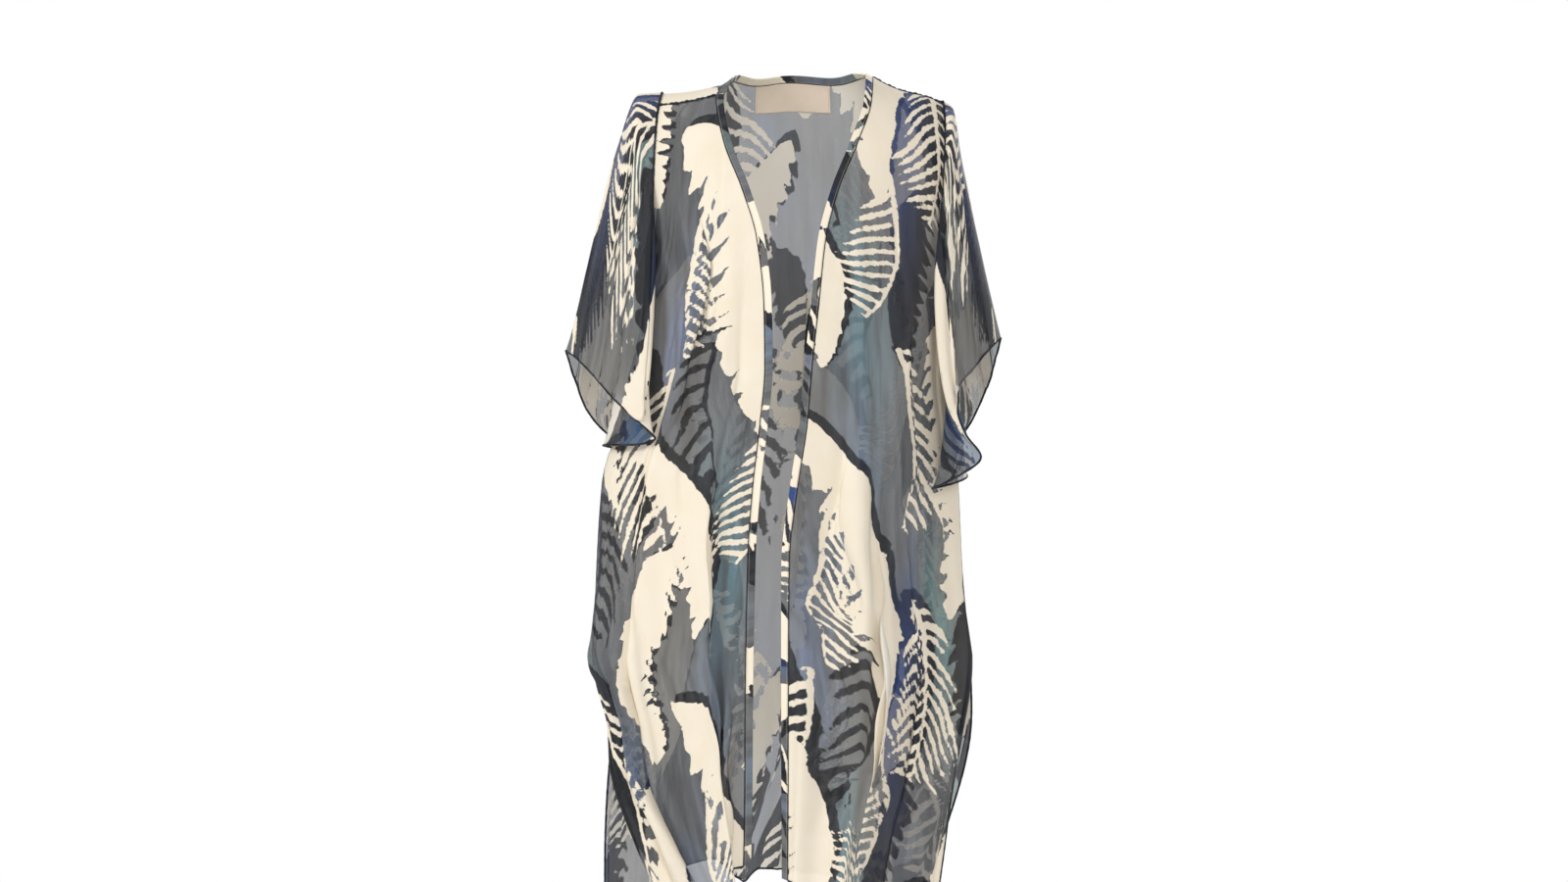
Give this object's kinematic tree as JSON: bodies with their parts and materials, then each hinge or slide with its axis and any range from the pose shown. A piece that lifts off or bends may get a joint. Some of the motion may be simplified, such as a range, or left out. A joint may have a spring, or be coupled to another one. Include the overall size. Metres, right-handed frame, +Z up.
{
  "type": "kaftan",
  "caption": "Sheer open-front kaftan held in its worn form: two fronts, a back with side slits, short wide sleeves, narrow bands and a bare neck label.",
  "frame": {"origin": "between the two neck points, at the height where the wearer's shoulders carry the cloth", "axes": "+Z up along the wearer, -Y towards the front opening, +X to the wearer's left"},
  "size_m": [0.5551, 0.2652, 1.079],
  "materials": {
    "printed_chiffon": "sheer crepe chiffon printed in cream, slate grey, charcoal and blue washes",
    "self_band": "the same chiffon folded double and stitched",
    "woven_label": "plain beige satin weave, bare"
  },
  "bodies": {
    "root": {"back": "printed_chiffon", "front_right": "printed_chiffon", "front_left": "printed_chiffon", "sleeve_right": "printed_chiffon", "sleeve_left": "printed_chiffon", "neck_band": "self_band", "front_band_right": "self_band", "front_band_left": "self_band", "neck_label": "woven_label"}
  },
  "joints": []
}
